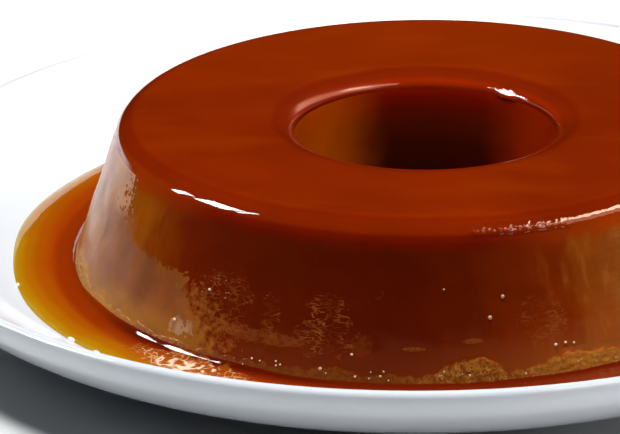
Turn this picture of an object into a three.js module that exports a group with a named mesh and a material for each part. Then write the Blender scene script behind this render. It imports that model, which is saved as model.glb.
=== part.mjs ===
// Creme caramel flan: a ring of baked custard under a layer of caramel, turned out of
// a 20 cm ring mould on to a round white coupe plate, with its sauce pooled round it.
// Millimetres, +Z up. The origin is on the plate's axis, at the plane its foot stands on.

import * as THREE from 'three';

// Plate
const PLATE_RADIUS = 155.5;
const PLATE_HEIGHT = 29.5;
const RIM_ROUND = 1.5; // half the thickness of the rounded rim
const WELL_HEIGHT = 7.7; // top of the flat well above the table
const WELL_RADIUS = 112; // where the flat well starts to sweep up
const FOOT_RADIUS = 91; // outer edge of the foot ring
const FOOT_WIDTH = 6;
const FOOT_HEIGHT = 2.4;
const BELLY_RADIUS = 93; // where the convex outer wall meets the foot
const BELLY_HEIGHT = 1.2;
const BELLY_POWER = 1.9; // 2 would make the outer wall a plain quarter ellipse

// Flan
const FLAN_CENTRE = new THREE.Vector2(3.5, -9.1); // it was turned out a little off centre
const FLAN_TOP = 50.4;
const BASE_RADIUS = 100.6; // at the level of the sauce
const TOP_RADIUS = 87.6; // where the straight side would meet the top
const HOLE_TOP_RADIUS = 38;
const HOLE_BASE_RADIUS = 35;
const HOLE_SHIFT_Y = -6.1; // the ring is a little thinner at the front
const LAYER_THICKNESS = 5.3; // caramel layer
const EDGE_INSET = 5.4; // the outer edge rounds off over this much of the top
const EDGE_DROP = 5; // and this much of the side
const LIP_ROUND = 10; // the hole's lip rounds off over this much of the top
const LIP_DROP = 5; // and this much of the hole's wall

// The base spread unevenly: [amplitude, waves round the ring, azimuth of a crest].
const BASE_WAVES = [[2.4, 1, 212], [1.3, 3, 219]];

// Sauce
const SAUCE_LEVEL = 9.6;
const POOL_REACH = 120.6; // from the flan's axis
const POOL_WAVES = [[0.7, 5, 193], [0.5, 9, 172]];
const POOL_TONGUE = [2.8, 154, 34]; // it ran further at one side: by how much, azimuth, half width
const POOL_WALL_RADIUS = 124; // the plate's rising wall stops the sauce here
const POOL_BLEND = 2; // how softly it turns along that wall
const POOL_EDGE_WIDTH = 7; // the surface falls away over this much
const POOL_EDGE_THICKNESS = 0.35;

const GAP = 0.3; // between pieces that touch
const SEGMENTS = 72;

// Geometry helpers

/** Points of a quarter ellipse round (r, z), from one angle to another in degrees. */
function arc(r, z, radiusR, radiusZ, fromDegrees, toDegrees, steps) {
  return Array.from({ length: steps + 1 }, (_, i) => {
    const angle = THREE.MathUtils.degToRad(THREE.MathUtils.lerp(fromDegrees, toDegrees, i / steps));
    return [r + radiusR * Math.cos(angle), z + radiusZ * Math.sin(angle)];
  });
}

/** Turns [radius, height] points round Z. They start and end on the axis or close on themselves. */
function revolve(points, segments = SEGMENTS) {
  const profile = points.map(([r, z]) => new THREE.Vector2(r, z));
  return new THREE.LatheGeometry(profile, segments).rotateX(Math.PI / 2);
}

/** Gives each vertex of a revolved geometry the [radius, height, shift in Y] that place() finds for it. */
function reshape(geometry, place) {
  const position = geometry.getAttribute('position');
  const vertex = new THREE.Vector3();
  for (let i = 0; i < position.count; i += 1) {
    vertex.fromBufferAttribute(position, i);
    const azimuth = Math.atan2(vertex.y, vertex.x);
    const [radius, height, shiftY = 0] = place(azimuth, Math.hypot(vertex.x, vertex.y), vertex.z);
    position.setXYZ(i, radius * Math.cos(azimuth), radius * Math.sin(azimuth) + shiftY, height);
  }
  geometry.computeVertexNormals();
  return geometry;
}

/** Sum of waves round the ring at an azimuth in radians. */
function waves(terms, azimuth) {
  return terms.reduce((sum, [amplitude, count, crest]) => (
    sum + amplitude * Math.cos(count * (azimuth - THREE.MathUtils.degToRad(crest)))
  ), 0);
}

function addMesh(parent, name, geometry, color, roughness) {
  const material = new THREE.MeshStandardMaterial({ color, roughness, metalness: 0 });
  const mesh = new THREE.Mesh(geometry, material);
  mesh.name = name;
  parent.add(mesh);
}

// Plate

const RIM_RADIUS = PLATE_RADIUS - RIM_ROUND;
const RIM_HEIGHT = PLATE_HEIGHT - RIM_ROUND;
const SWEEP_RADIUS = RIM_RADIUS - RIM_ROUND; // inner edge of the rim

/** Height of the plate's upper surface at a distance from its axis. */
function plateSurface(radius) {
  const sweep = Math.max(0, radius - WELL_RADIUS) / (SWEEP_RADIUS - WELL_RADIUS);
  return WELL_HEIGHT + (RIM_HEIGHT - WELL_HEIGHT) * sweep ** 2;
}

/** The convex outer wall, from the foot up to the rim. */
function bellyPoints(steps) {
  return Array.from({ length: steps }, (_, i) => {
    const angle = (Math.PI / 2) * (1 - i / steps);
    return [
      BELLY_RADIUS + (PLATE_RADIUS - BELLY_RADIUS) * Math.cos(angle) ** (2 / BELLY_POWER),
      RIM_HEIGHT - (RIM_HEIGHT - BELLY_HEIGHT) * Math.sin(angle) ** (2 / BELLY_POWER),
    ];
  });
}

function plateGeometry() {
  const innerFoot = FOOT_RADIUS - FOOT_WIDTH;
  const sweepSteps = 9;
  const sweep = Array.from({ length: sweepSteps }, (_, i) => {
    const radius = THREE.MathUtils.lerp(SWEEP_RADIUS, WELL_RADIUS, (i + 1) / sweepSteps);
    return [radius, plateSurface(radius)];
  });
  return revolve([
    [0, FOOT_HEIGHT],
    [innerFoot - 1, FOOT_HEIGHT],
    [innerFoot, 0],
    [FOOT_RADIUS, 0],
    ...bellyPoints(10),
    ...arc(RIM_RADIUS, RIM_HEIGHT, RIM_ROUND, RIM_ROUND, 0, 180, 6),
    ...sweep,
    [0, WELL_HEIGHT],
  ]);
}

// Flan

const FLAN_BASE = WELL_HEIGHT + GAP;
const LAYER_BASE = FLAN_TOP - LAYER_THICKNESS;
const CUSTARD_TOP = LAYER_BASE - GAP;

/** Radius of the straight outer side at a height, before the base's unevenness. */
function sideRadius(height) {
  const up = (height - SAUCE_LEVEL) / (FLAN_TOP - SAUCE_LEVEL);
  return THREE.MathUtils.lerp(BASE_RADIUS, TOP_RADIUS, up);
}

/** Radius of the hole's wall at a height. */
function holeRadius(height) {
  const up = (height - FLAN_BASE) / (FLAN_TOP - FLAN_BASE);
  return THREE.MathUtils.lerp(HOLE_BASE_RADIUS, HOLE_TOP_RADIUS, up);
}

/** How far the outer side stands out at an azimuth: most at the base, not at all at the top. */
function sideBulge(azimuth, height) {
  const up = THREE.MathUtils.clamp((height - FLAN_BASE) / (FLAN_TOP - FLAN_BASE), 0, 1);
  return waves(BASE_WAVES, azimuth) * (1 - up);
}

/** Makes a revolved ring as uneven as it was turned out: the base spread, the hole off centre. */
function makeUneven(geometry) {
  const middle = (BASE_RADIUS + HOLE_TOP_RADIUS) / 2;
  return reshape(geometry, (azimuth, radius, height) => (
    radius > middle
      ? [radius + sideBulge(azimuth, height), height]
      : [radius, height, HOLE_SHIFT_Y]
  ));
}

function custardGeometry() {
  const steps = 4;
  const heights = Array.from({ length: steps + 1 }, (_, i) => (
    THREE.MathUtils.lerp(FLAN_BASE, CUSTARD_TOP, i / steps)
  ));
  const side = heights.map((height) => [sideRadius(height), height]);
  const hole = heights.map((height) => [holeRadius(height), height]).reverse();
  return makeUneven(revolve([...side, ...hole, side[0]]));
}

function caramelLayerGeometry() {
  const edge = arc(
    TOP_RADIUS - EDGE_INSET, FLAN_TOP - EDGE_DROP, sideRadius(FLAN_TOP - EDGE_DROP) - TOP_RADIUS + EDGE_INSET,
    EDGE_DROP, 0, 90, 6,
  );
  const lip = arc(holeRadius(FLAN_TOP) + LIP_ROUND, FLAN_TOP - LIP_DROP, LIP_ROUND, LIP_DROP, 90, 180, 6);
  const foot = [sideRadius(LAYER_BASE), LAYER_BASE];
  return makeUneven(revolve([foot, ...edge, ...lip, [holeRadius(LAYER_BASE), LAYER_BASE], foot]));
}

// Sauce

/** Where a ray from the flan's axis at an azimuth meets the plate's rising wall. */
function reachToWall(azimuth) {
  const along = FLAN_CENTRE.x * Math.cos(azimuth) + FLAN_CENTRE.y * Math.sin(azimuth);
  return -along + Math.sqrt(along ** 2 + POOL_WALL_RADIUS ** 2 - FLAN_CENTRE.lengthSq());
}

/** How much further the pool ran at an azimuth. */
function tongue(azimuth) {
  const [length, middle, halfWidth] = POOL_TONGUE;
  const apart = THREE.MathUtils.euclideanModulo(THREE.MathUtils.radToDeg(azimuth) - middle, 360);
  return length * (1 - THREE.MathUtils.smoothstep(Math.min(apart, 360 - apart), 0, halfWidth));
}

/** Edge of the pool: its own free reach, or the plate's wall where that is nearer. */
function poolRadius(azimuth) {
  const free = POOL_REACH + waves(POOL_WAVES, azimuth) + tongue(azimuth);
  const wall = reachToWall(azimuth);
  return (free + wall - Math.hypot(free - wall, POOL_BLEND)) / 2;
}

/** Height of the plate's upper surface at a place given from the flan's axis. */
function plateUnder(azimuth, radius) {
  return plateSurface(Math.hypot(
    FLAN_CENTRE.x + radius * Math.cos(azimuth),
    FLAN_CENTRE.y + radius * Math.sin(azimuth),
  ));
}

/** The pool round the flan. It is turned as a ring one unit wide and high, then spread to fit. */
function saucePoolGeometry() {
  const across = [0, 0.35, 0.62, 0.84, 1];
  const bed = across.map((share) => [1 + share, 0]);
  const surface = across.map((share) => [1 + share, 1]).reverse();
  return reshape(revolve([...bed, ...surface, bed[0]]), (azimuth, unit, top) => {
    const level = top > 0.5 ? SAUCE_LEVEL : FLAN_BASE;
    const inner = sideRadius(level) + sideBulge(azimuth, level) + GAP;
    const radius = THREE.MathUtils.lerp(inner, poolRadius(azimuth), unit - 1);
    const under = plateUnder(azimuth, radius) + GAP;
    if (top < 0.5) return [radius, under];
    const fromEdge = Math.min((poolRadius(azimuth) - radius) / POOL_EDGE_WIDTH, 1);
    const fall = (1 - fromEdge) ** 2 * (SAUCE_LEVEL - under);
    return [radius, Math.max(SAUCE_LEVEL - fall, under + POOL_EDGE_THICKNESS)];
  });
}

function holeSauceGeometry() {
  const bed = WELL_HEIGHT + GAP;
  return revolve([
    [0, bed],
    [holeRadius(bed) - GAP, bed],
    [holeRadius(SAUCE_LEVEL) - GAP, SAUCE_LEVEL],
    [0, SAUCE_LEVEL],
  ]).translate(0, HOLE_SHIFT_Y, 0);
}

// Assembly

const group = new THREE.Group();
const flan = new THREE.Group();
flan.position.set(FLAN_CENTRE.x, FLAN_CENTRE.y, 0);
group.add(flan);

addMesh(group, 'plate', plateGeometry(), 0xeceff3, 0.12);
addMesh(flan, 'custard', custardGeometry(), 0x8a4a1c, 0.3);
addMesh(flan, 'caramel_layer', caramelLayerGeometry(), 0x8c2c04, 0.15);
addMesh(flan, 'sauce_pool', saucePoolGeometry(), 0xa84808, 0.08);
addMesh(flan, 'hole_sauce', holeSauceGeometry(), 0x6a1e04, 0.08);

export default group;
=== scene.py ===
# A creme caramel flan, turned out on a round white plate, with its caramel sauce round it.
# Metres, +Z up. The plate stands on z = 0, round the Z axis, and -Y is the front.

import math
import random

import bpy
import mathutils
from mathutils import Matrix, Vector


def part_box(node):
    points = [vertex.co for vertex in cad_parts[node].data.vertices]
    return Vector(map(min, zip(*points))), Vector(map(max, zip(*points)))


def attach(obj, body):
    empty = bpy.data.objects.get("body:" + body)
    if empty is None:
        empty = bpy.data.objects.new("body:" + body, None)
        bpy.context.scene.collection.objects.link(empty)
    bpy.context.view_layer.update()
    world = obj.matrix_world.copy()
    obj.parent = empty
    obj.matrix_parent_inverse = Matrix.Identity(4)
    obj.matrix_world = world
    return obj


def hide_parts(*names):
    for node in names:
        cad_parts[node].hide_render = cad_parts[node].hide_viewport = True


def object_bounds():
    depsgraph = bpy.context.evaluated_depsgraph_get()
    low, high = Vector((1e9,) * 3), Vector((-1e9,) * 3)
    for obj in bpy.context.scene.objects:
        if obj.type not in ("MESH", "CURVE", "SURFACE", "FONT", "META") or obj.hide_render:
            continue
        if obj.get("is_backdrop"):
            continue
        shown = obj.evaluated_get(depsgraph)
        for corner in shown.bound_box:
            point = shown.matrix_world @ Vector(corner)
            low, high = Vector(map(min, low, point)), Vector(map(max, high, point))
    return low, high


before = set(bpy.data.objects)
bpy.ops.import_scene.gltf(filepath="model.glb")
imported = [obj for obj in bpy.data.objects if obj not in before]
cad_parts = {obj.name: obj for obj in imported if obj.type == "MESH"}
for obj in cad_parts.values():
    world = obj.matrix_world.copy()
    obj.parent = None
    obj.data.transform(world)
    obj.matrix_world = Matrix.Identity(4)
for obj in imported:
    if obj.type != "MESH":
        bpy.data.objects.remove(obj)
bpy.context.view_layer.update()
bpy.ops.object.select_all(action="DESELECT")


# Plate. A round coupe plate of white porcelain, made in one piece: a flat well that sweeps up to
# a thin rounded rim, over a foot ring. It is glazed all over, but for the face of the foot ring.

plate_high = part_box("plate")[1]
PLATE_RADIUS = plate_high.x
RIM_ROUND = 0.0015
RIM_RADIUS = PLATE_RADIUS - RIM_ROUND
RIM_HEIGHT = plate_high.z - RIM_ROUND
SWEEP_RADIUS = RIM_RADIUS - RIM_ROUND
WELL_HEIGHT = 0.0077
WELL_RADIUS = 0.112
FOOT_RADIUS = 0.091
FOOT_WIDTH = 0.006
FOOT_HEIGHT = 0.0024
FOOT_ROUND = 0.0006
RECESS_FILLET = 0.002  # where the underside meets the inner face of the foot ring
BELLY_RADIUS = 0.093
BELLY_HEIGHT = 0.0012
BELLY_POWER = 1.9  # how square its curve is: 2 is an ellipse
BELLY_ROWS = 28
SWEEP_ROWS = 30
WELL_MARGIN = 0.004  # from the foot of the sweep to the well's outermost row
PLATE_STEPS = 256
MERGE_WITHIN = 0.000005


def plate_surface(radius):
    """Height of the plate's upper surface at a distance from its axis."""
    sweep = max(0, radius - WELL_RADIUS) / (SWEEP_RADIUS - WELL_RADIUS)
    return WELL_HEIGHT + (RIM_HEIGHT - WELL_HEIGHT) * sweep**2


def arc(radius, height, wide, high, start, end, steps):
    """[radius, height] points of an elliptical arc from one angle to another, in degrees."""
    angles = [math.radians(start + (end - start) * i / steps) for i in range(steps + 1)]
    return [(radius + wide * math.cos(a), height + high * math.sin(a)) for a in angles]


def between(start, end, steps):
    """Evenly spaced [radius, height] points from one to another, both ends included."""
    return [
        tuple(a + (b - a) * i / steps for a, b in zip(start, end)) for i in range(steps + 1)
    ]


def draw_outline(name, points):
    """Draws a line through [radius, height] points, as by hand: one vertex, extruded on and on."""
    bpy.ops.mesh.primitive_plane_add(size=0.01)
    piece = bpy.context.object
    piece.name = name
    piece.data.name = name
    bpy.ops.object.mode_set(mode="EDIT")
    bpy.ops.mesh.merge(type="CENTER")
    at = points[0]
    bpy.ops.transform.translate(value=(at[0], 0, at[1]))
    for point in points[1:]:
        step = (point[0] - at[0], 0, point[1] - at[1])
        bpy.ops.mesh.extrude_vertices_move(TRANSFORM_OT_translate={"value": step})
        at = point
    bpy.ops.object.mode_set(mode="OBJECT")
    return piece


def turn_outline(piece, steps, centre=(0, 0)):
    """Turns the drawn outline round its upright axis, closes it and puts the axis at the centre."""
    screw = piece.modifiers.new("turn", "SCREW")
    screw.steps = steps
    screw.render_steps = steps
    bpy.ops.object.modifier_apply(modifier=screw.name)
    bpy.ops.object.mode_set(mode="EDIT")
    bpy.ops.mesh.select_all(action="SELECT")
    bpy.ops.mesh.remove_doubles(threshold=MERGE_WITHIN)
    bpy.ops.mesh.normals_make_consistent(inside=False)
    bpy.ops.transform.translate(value=(*centre, 0))
    bpy.ops.object.mode_set(mode="OBJECT")
    bpy.ops.object.shade_smooth()


def keep_values(piece, name, values):
    """Keeps a value for each vertex of the piece, in their order, for its material to read."""
    piece.data.attributes.new(name, "FLOAT", "POINT").data.foreach_set("value", values)


belly = []
for i in range(BELLY_ROWS):
    angle = math.pi / 2 * (1 - i / BELLY_ROWS)
    belly.append(
        (
            BELLY_RADIUS + (PLATE_RADIUS - BELLY_RADIUS) * math.cos(angle) ** (2 / BELLY_POWER),
            RIM_HEIGHT - (RIM_HEIGHT - BELLY_HEIGHT) * math.sin(angle) ** (2 / BELLY_POWER),
        )
    )
sweep = []
for i in range(1, SWEEP_ROWS + 1):
    radius = SWEEP_RADIUS + (WELL_RADIUS - SWEEP_RADIUS) * i / SWEEP_ROWS
    sweep.append((radius, plate_surface(radius)))

foot_inner = FOOT_RADIUS - FOOT_WIDTH
plate = draw_outline(
    "glazed_plate",
    [
        *between((0, FOOT_HEIGHT), (foot_inner - RECESS_FILLET, FOOT_HEIGHT), 8),
        (foot_inner - 0.2 * RECESS_FILLET, FOOT_HEIGHT - 0.3 * RECESS_FILLET),
        *arc(foot_inner + FOOT_ROUND, FOOT_ROUND, FOOT_ROUND, FOOT_ROUND, 180, 270, 4),
        *arc(FOOT_RADIUS - FOOT_ROUND, FOOT_ROUND, FOOT_ROUND, FOOT_ROUND, 270, 360, 4),
        *belly,
        *arc(RIM_RADIUS, RIM_HEIGHT, RIM_ROUND, RIM_ROUND, 0, 180, 16),
        *sweep,
        *between((WELL_RADIUS - WELL_MARGIN, WELL_HEIGHT), (0, WELL_HEIGHT), 12),
    ],
)
turn_outline(plate, PLATE_STEPS)
# Kept for the glaze's painted shade, where the surface faces down.
keep_values(plate, "facing_down", [max(0, -vertex.normal.z) for vertex in plate.data.vertices])


def set_input(tree, socket, value):
    """Gives a socket a value or a link."""
    if isinstance(value, bpy.types.NodeSocket):
        tree.links.new(value, socket)
    else:
        socket.default_value = value


def node(tree, kind, inputs=None, **settings):
    """Adds a shader node. inputs gives a socket, by its name or number, a value or a link."""
    made = tree.nodes.new(kind)
    for name, value in settings.items():
        setattr(made, name, value)
    for socket, value in (inputs or {}).items():
        set_input(tree, made.inputs[socket], value)
    return made


def maths(tree, operation, first, second=0.0, third=0.0):
    """One step of arithmetic on values."""
    inputs = {0: first, 1: second, 2: third}
    return node(tree, "ShaderNodeMath", inputs, operation=operation).outputs[0]


def kept_value(tree, name):
    """A value that the piece keeps for each of its vertices."""
    return node(tree, "ShaderNodeAttribute", attribute_name=name).outputs["Fac"]


def axes(tree, point):
    """The parts of a point along "X", "Y" and "Z"."""
    return node(tree, "ShaderNodeSeparateXYZ", {0: point}).outputs


def times(tree, *values):
    """The product of values."""
    product = values[0]
    for value in values[1:]:
        product = maths(tree, "MULTIPLY", product, value)
    return product


def fade(tree, value, start, end, low=0.0, high=1.0):
    """A soft step: low where the value is at start or before, high at end or past it."""
    inputs = {"Value": value, "From Min": start, "From Max": end, "To Min": low, "To Max": high}
    made = node(tree, "ShaderNodeMapRange", inputs, interpolation_type="SMOOTHSTEP")
    return made.outputs["Result"]


def tint(tree, factor, first, second, mode="MIX"):
    """Mixes two colours, each an (r, g, b) or a link, by a factor."""
    made = node(tree, "ShaderNodeMix", data_type="RGBA", blend_type=mode)
    for number, value in ((0, factor), (6, first), (7, second)):
        set_input(tree, made.inputs[number], (*value, 1) if isinstance(value, tuple) else value)
    return made.outputs[2]


def set_colour(tree, shader, colour, rough, index):
    """Gives the shader its colour, its roughness, a value or a link, and its refractive index."""
    set_input(tree, shader.inputs["Base Color"], colour)
    set_input(tree, shader.inputs["Roughness"], rough)
    shader.inputs["IOR"].default_value = index


def set_relief(tree, shader, relief, strength):
    """Gives the shader a bump of up to 0.6 mm from a height."""
    bump = node(tree, "ShaderNodeBump", {"Height": relief, "Strength": strength, "Distance": 0.0006})
    tree.links.new(bump.outputs["Normal"], shader.inputs["Normal"])


def noise(tree, point, scale, detail=2.0, roughness=0.5):
    """Soft noise from about 0.3 to 0.7, with scale in waves for each unit of the point."""
    inputs = {"Vector": point, "Scale": scale, "Detail": detail, "Roughness": roughness}
    return node(tree, "ShaderNodeTexNoise", inputs).outputs["Fac"]


def new_material(name, piece):
    """Gives the piece a new material and returns its node tree and its Principled shader."""
    material = bpy.data.materials.new(name)
    material.use_nodes = True
    piece.data.materials.append(material)
    return material.node_tree, material.node_tree.nodes["Principled BSDF"]


GLAZE = (0.745, 0.78, 0.83)
GLAZE_CLOUD = tuple(0.97 * c for c in GLAZE)
# The glaze with painted shade, for where the surface faces down.
GLAZE_PAINTED_SHADE = tuple(0.62 * c for c in GLAZE)
BARE_PORCELAIN = (0.72, 0.7, 0.66)

tree, shader = new_material("glazed_porcelain", plate)
point = node(tree, "ShaderNodeTexCoord").outputs["Object"]
height = axes(tree, point)["Z"]
facing_down = kept_value(tree, "facing_down")
bare = fade(tree, height, 0.0005, 0.0002)
cloud = noise(tree, point, 18.0, 3.0)
glaze = tint(tree, fade(tree, cloud, 0.35, 0.65), GLAZE, GLAZE_CLOUD)
# Painted shade: the glaze is darker where the surface faces down, under the plate's belly.
glaze = tint(tree, fade(tree, facing_down, 0.15, 0.75), glaze, GLAZE_PAINTED_SHADE)
wiped = noise(tree, point, 55.0, 4.0)
rough = fade(tree, wiped, 0.3, 0.75, 0.08, 0.17)
rough = fade(tree, bare, 0.0, 1.0, rough, 0.6)
set_colour(tree, shader, tint(tree, bare, glaze, BARE_PORCELAIN), rough, 1.5)
set_relief(tree, shader, noise(tree, point, 40.0, 1.0), 0.12)

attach(plate, "root")
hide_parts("plate")


# Custard. A thick ring of baked custard, turned out of a ring mould, so its outer side slopes
# out to the base. It stands on the plate by its own weight, a little off centre, and it has
# spread unevenly there. A wet film of caramel covers its skin, worn off in patches, and the
# part that baked against the air is a rough crust at the base.
# Its colours hold painted light: a dark front, a pale sheen at the left and shade in the hole.

custard_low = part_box("custard")[0]
layer_low, layer_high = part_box("caramel_layer")
FLAN_CENTRE = (0.0035, -0.0091)
FLAN_BASE = custard_low.z
FLAN_TOP = layer_high.z
LAYER_BASE = layer_low.z
SAUCE_LEVEL = 0.0096
BASE_RADIUS = 0.1006
TOP_RADIUS = 0.0876
HOLE_TOP_RADIUS = 0.038
HOLE_BASE_RADIUS = 0.035
HOLE_SHIFT_Y = -0.0061
RING_MIDDLE = (HOLE_TOP_RADIUS + TOP_RADIUS) / 2  # parts the hole's side from the outer side
RING_STEPS = 960
SHARP_ANGLE = math.radians(50)
BASE_WAVES = ((0.0024, 1, 212), (0.0013, 3, 219))  # size, waves in a turn, azimuth of a crest


def waves(terms, azimuth):
    """Sum of waves round the ring at an azimuth in radians."""
    return sum(
        size * math.cos(count * (azimuth - math.radians(crest))) for size, count, crest in terms
    )


def share_up(height):
    """How far up the flan a height is, from 0 at its base to 1 at its top."""
    return min(1, max(0, (height - FLAN_BASE) / (FLAN_TOP - FLAN_BASE)))


def side_radius(height):
    """Radius of the straight outer side at a height."""
    up = (height - SAUCE_LEVEL) / (FLAN_TOP - SAUCE_LEVEL)
    return BASE_RADIUS + (TOP_RADIUS - BASE_RADIUS) * up


def hole_radius(height):
    """Radius of the hole's wall at a height."""
    return HOLE_BASE_RADIUS + (HOLE_TOP_RADIUS - HOLE_BASE_RADIUS) * share_up(height)


def side_bulge(azimuth, height):
    """How far the outer side stands out at an azimuth, most at the base."""
    return waves(BASE_WAVES, azimuth) * (1 - share_up(height))


def on_ring(place):
    """The turn in degrees of a place, and how far it is from the flan's axis."""
    x = place.x - FLAN_CENTRE[0]
    y = place.y - FLAN_CENTRE[1]
    return math.degrees(math.atan2(x, -y)), math.hypot(x, y)


def azimuth_at(turn):
    """The azimuth in radians of a turn in degrees, which is 0 at the front and + to the right."""
    return math.radians(turn - 90)


def turned_apart(turn, other):
    """How far apart two turns or azimuths in degrees are, the short way round."""
    return abs((turn - other + 180) % 360 - 180)


def shift_hole(piece):
    """Moves the hole's wall and lip off the flan's axis, towards the front."""
    bpy.ops.object.mode_set(mode="EDIT")
    bpy.ops.mesh.select_mode(type="VERT")
    bpy.ops.mesh.select_all(action="DESELECT")
    bpy.ops.object.mode_set(mode="OBJECT")
    for vertex in piece.data.vertices:
        vertex.select = on_ring(vertex.co)[1] < RING_MIDDLE
    bpy.ops.object.mode_set(mode="EDIT")
    bpy.ops.transform.translate(value=(0, HOLE_SHIFT_Y, 0))
    bpy.ops.object.mode_set(mode="OBJECT")


def spread_base(piece):
    """Pushes the outer side out by the uneven spread of the base, which no one operator gives."""
    for vertex in piece.data.vertices:
        x = vertex.co.x - FLAN_CENTRE[0]
        y = vertex.co.y - FLAN_CENTRE[1]
        radius = math.hypot(x, y)
        if radius > RING_MIDDLE:
            out = 1 + side_bulge(math.atan2(y, x), vertex.co.z) / radius
            vertex.co.x = FLAN_CENTRE[0] + x * out
            vertex.co.y = FLAN_CENTRE[1] + y * out


def step(value, start, end):
    """A soft step: 0 where the value is at start or before, 1 at end or past it."""
    share = min(1, max(0, (value - start) / (end - start)))
    return share * share * (3 - 2 * share)


def roughen(piece, name, weight_at, strength, size, depth, mid_level=0.5):
    """Displaces the skin by cloudy noise of a grain size, as strongly as weight_at says."""
    group = piece.vertex_groups.new(name=name)
    for vertex in piece.data.vertices:
        turn, radius = on_ring(vertex.co)
        weight = weight_at(turn, vertex.co.z, radius)
        if weight > 0.01:
            group.add([vertex.index], min(1, weight), "REPLACE")
    grain = bpy.data.textures.new(name, "CLOUDS")
    grain.noise_scale = size
    grain.noise_depth = depth
    push = piece.modifiers.new(name, "DISPLACE")
    push.texture = grain
    push.texture_coords = "LOCAL"
    push.vertex_group = name
    push.strength = strength
    push.mid_level = mid_level
    bpy.ops.object.modifier_apply(modifier=push.name)


# The crust's upper edge, and its humps: the turn of each, its half width, both in degrees, and
# its height in mm.
CRUST_HEIGHT = 0.0124
CRUST_HUMPS = (
    (7, 6, 3.6),
    (24, 9, 2.4),
    (-14, 4, 1.0),
    (66, 9, 3.0),
    (-74, 8, 2.4),
    (118, 12, 3.2),
    (150, 9, 2.0),
    (-128, 14, 3.0),
    (-165, 8, 2.6),
)


def crust_top(turn):
    """Height of the crust's upper edge at a turn in degrees."""
    height = CRUST_HEIGHT
    for centre, half, rise in CRUST_HUMPS:
        apart = turned_apart(turn, centre)
        height += 0.001 * rise * (1 - step(apart, 0.35 * half, half))
    ragged = 0.3 * math.sin(turn * 0.9) + 0.25 * math.sin(turn * 2.3 + 1)
    return height + 0.001 * ragged


def crust_relief(turn, height, radius):
    """How strongly the crust is roughened: most where it stands in thick bubbly humps."""
    hump = (crust_top(turn) - CRUST_HEIGHT) / 0.003
    return crust_share(turn, height, radius) * min(1, max(0.08, hump))


def crust_share(turn, height, radius):
    """1 on the crust and 0 above it, and nowhere in the hole."""
    if radius < RING_MIDDLE:
        return 0
    return 1 - step(height, crust_top(turn) - 0.0016, crust_top(turn) + 0.0012)


def skin_share(turn, height, radius):
    """1 on the outer side's skin between the crust and the caramel."""
    if radius < RING_MIDDLE:
        return 0
    return step(height, 0.012, 0.018) * (1 - step(height, LAYER_BASE - 0.008, LAYER_BASE - 0.002))


bpy.ops.object.select_all(action="DESELECT")
CRUST_ROWS_TO = 0.0175
crust_side = between(
    (side_radius(FLAN_BASE), FLAN_BASE), (side_radius(CRUST_ROWS_TO), CRUST_ROWS_TO), 32
)
upper_side = between(
    (side_radius(CRUST_ROWS_TO), CRUST_ROWS_TO), (side_radius(LAYER_BASE), LAYER_BASE), 44
)
inner = between((hole_radius(LAYER_BASE), LAYER_BASE), (hole_radius(FLAN_BASE), FLAN_BASE), 14)
custard = draw_outline("custard_ring", [*crust_side, *upper_side[1:], *inner, crust_side[0]])
turn_outline(custard, RING_STEPS, FLAN_CENTRE)
spread_base(custard)
shift_hole(custard)
bpy.ops.object.shade_smooth_by_angle(angle=SHARP_ANGLE)
roughen(custard, "crust", crust_relief, strength=0.0007, size=0.0013, depth=2, mid_level=0.2)
roughen(custard, "crust_grain", crust_relief, strength=0.0003, size=0.0005, depth=1)
roughen(custard, "skin", skin_share, strength=0.0006, size=0.012, depth=1)

# Places on the custard's side where the wet film is worn: turn and height of the middle, half
# width in degrees, half height in mm, and how bare and how wrinkled it is there.
WORN_PATCHES = (
    (-33.5, 23, 6.5, 10.5, 0.0, 1.0),
    (-24.6, 24, 1.9, 6.5, 0.0, 1.0),
    (-15.2, 22.5, 4.4, 8, 0.0, 1.0),
    (-9.6, 19.8, 1.9, 3.0, 0.1, 1.0),
    (-26, 18.6, 7, 1.8, 0.4, 0.3),
    (-40.5, 21.5, 1.6, 1.6, 1.0, 0.0),
    (-1.6, 18.8, 1.6, 0.5, 0.8, 0.0),
    (7.4, 20.4, 1.5, 0.6, 0.6, 0.0),
    (18.6, 24, 4.2, 6, 0.0, 0.9),
    (26, 15.8, 6.5, 0.6, 1.0, 0.0),
    (36, 31, 8, 16, 0.2, 0.8),
    (52, 22, 12, 14, 0.6, 0.6),
    (95, 28, 20, 13, 0.3, 0.8),
    (131, 20, 12, 9, 0.6, 0.4),
    (168, 27, 14, 12, 0.3, 0.8),
    (-150, 21, 16, 10, 0.6, 0.4),
    (-112, 28, 14, 14, 0.3, 0.8),
)

# The wet film's colour by the turn: clear and ochre at the left, dark in front, thin at right;
# its dark front and lighter sides are partly painted light and shade.
FILM_AND_PAINTED_LIGHT_TINTS = (
    (-55, (0.33, 0.074, 0.0008)),
    (-49, (0.215, 0.032, 0.0006)),
    (-42, (0.15, 0.012, 0.0006)),
    (-34, (0.118, 0.009, 0.0005)),
    (-25, (0.1, 0.0085, 0.0005)),
    (-13, (0.094, 0.007, 0.0005)),
    (-5, (0.09, 0.0066, 0.0005)),
    (5, (0.112, 0.0088, 0.0005)),
    (15, (0.165, 0.016, 0.0006)),
    (22, (0.2, 0.021, 0.0008)),
    (28, (0.3, 0.057, 0.004)),
    (36, (0.38, 0.1, 0.01)),
)

# Where hardly any film is left, at the left, with a painted pale sheen of the bright
# surroundings: its colour there by the turn.
PALE_SHEEN_TINTS = (
    (-84, (0.52, 0.235, 0.06)),
    (-74, (0.46, 0.18, 0.038)),
    (-66, (0.335, 0.104, 0.02)),
    (-56, (0.245, 0.07, 0.011)),
    (-50, (0.205, 0.052, 0.005)),
    (-45, (0.25, 0.064, 0.008)),
    (-36, (0.255, 0.07, 0.008)),
)
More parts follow.
